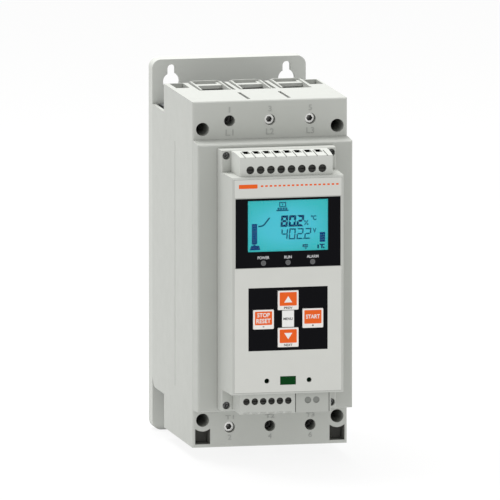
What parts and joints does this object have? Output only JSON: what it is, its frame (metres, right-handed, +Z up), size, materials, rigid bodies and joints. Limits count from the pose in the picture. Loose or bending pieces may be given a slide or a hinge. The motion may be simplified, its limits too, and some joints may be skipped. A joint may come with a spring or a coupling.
{
  "type": "soft starter",
  "caption": "Panel-mounted three-phase soft starter: tall grey housing on a keyhole back plate, with a control module carrying a display, status lights, keys and terminal blocks.",
  "frame": {"origin": "centre of the back plate's rear face, on the wall plane", "axes": "+X to the right seen from the front, +Y into the wall, +Z up"},
  "size_m": [0.115, 0.2162, 0.274],
  "materials": {
    "shell_grey": "fine matte moulding",
    "film_grey": "satin film",
    "sink_metal": "mill finish",
    "screw_steel": "zinc plated",
    "dark_steel": "blackened",
    "tinned": "tin plated",
    "black_plastic": "matte",
    "sensor_blue": "potted",
    "board_green": "solder resist",
    "lcd_blue": "backlit",
    "field_black": "satin print",
    "clear_window": "clear",
    "light_pipe": "translucent",
    "key_orange": "printed",
    "port_green": "tinted"
  },
  "bodies": {
    "starter": {"back_plate": "shell_grey", "heatsink": "sink_metal", "plate_screws": "screw_steel", "housing": "shell_grey", "housing_screws": "dark_steel", "front_cover": "shell_grey", "line_carrier": "black_plastic", "load_carrier": "black_plastic", "line_lug_1": "tinned", "line_lug_2": "tinned", "line_lug_3": "tinned", "load_lug_1": "tinned", "load_lug_2": "tinned", "load_lug_3": "tinned", "line_busbar_1": "tinned", "line_busbar_2": "tinned", "line_busbar_3": "tinned", "load_busbar_1": "tinned", "load_busbar_2": "tinned", "load_busbar_3": "tinned", "busbar_bolts": "screw_steel", "lug_screws": "screw_steel", "thyristor_1": "black_plastic", "thyristor_2": "black_plastic", "thyristor_3": "black_plastic", "bypass_relay_1": "black_plastic", "bypass_relay_2": "black_plastic", "bypass_relay_3": "black_plastic", "current_sensor_1": "sensor_blue", "current_sensor_2": "sensor_blue", "current_sensor_3": "sensor_blue", "power_board": "board_green", "gate_transformers": "black_plastic", "link_connector": "black_plastic", "module_case": "shell_grey", "module_back": "black_plastic", "module_screws": "screw_steel", "upper_block": "shell_grey", "lower_block": "shell_grey", "slot_cover": "shell_grey", "upper_block_screws": "dark_steel", "lower_block_screws": "dark_steel", "wire_clamps": "dark_steel", "control_board": "board_green", "display_board": "board_green", "board_header": "black_plastic", "lcd": "lcd_blue", "display_bezel": "field_black", "display_window": "clear_window", "light_pipes": "light_pipe", "upper_film": "film_grey", "lower_film": "film_grey", "keypad_panel": "field_black", "switches": "black_plastic", "optical_window": "port_green"},
    "key_stop": {"key_stop": "key_orange"},
    "key_start": {"key_start": "key_orange"},
    "key_up": {"key_up": "key_orange"},
    "key_down": {"key_down": "key_orange"}
  },
  "joints": [
    {"name": "key_stop_press", "type": "slide", "parent": "starter", "child": "key_stop", "axis": [0, 1, 0], "range_m": [0, 0.0004], "stiffness_N_per_m": 3000, "springref_m": -0.0002},
    {"name": "key_start_press", "type": "slide", "parent": "starter", "child": "key_start", "axis": [0, 1, 0], "range_m": [0, 0.0004], "stiffness_N_per_m": 3000, "springref_m": -0.0002},
    {"name": "key_up_press", "type": "slide", "parent": "starter", "child": "key_up", "axis": [0, 1, 0], "range_m": [0, 0.0004], "stiffness_N_per_m": 3000, "springref_m": -0.0002},
    {"name": "key_down_press", "type": "slide", "parent": "starter", "child": "key_down", "axis": [0, 1, 0], "range_m": [0, 0.0004], "stiffness_N_per_m": 3000, "springref_m": -0.0002}
  ]
}
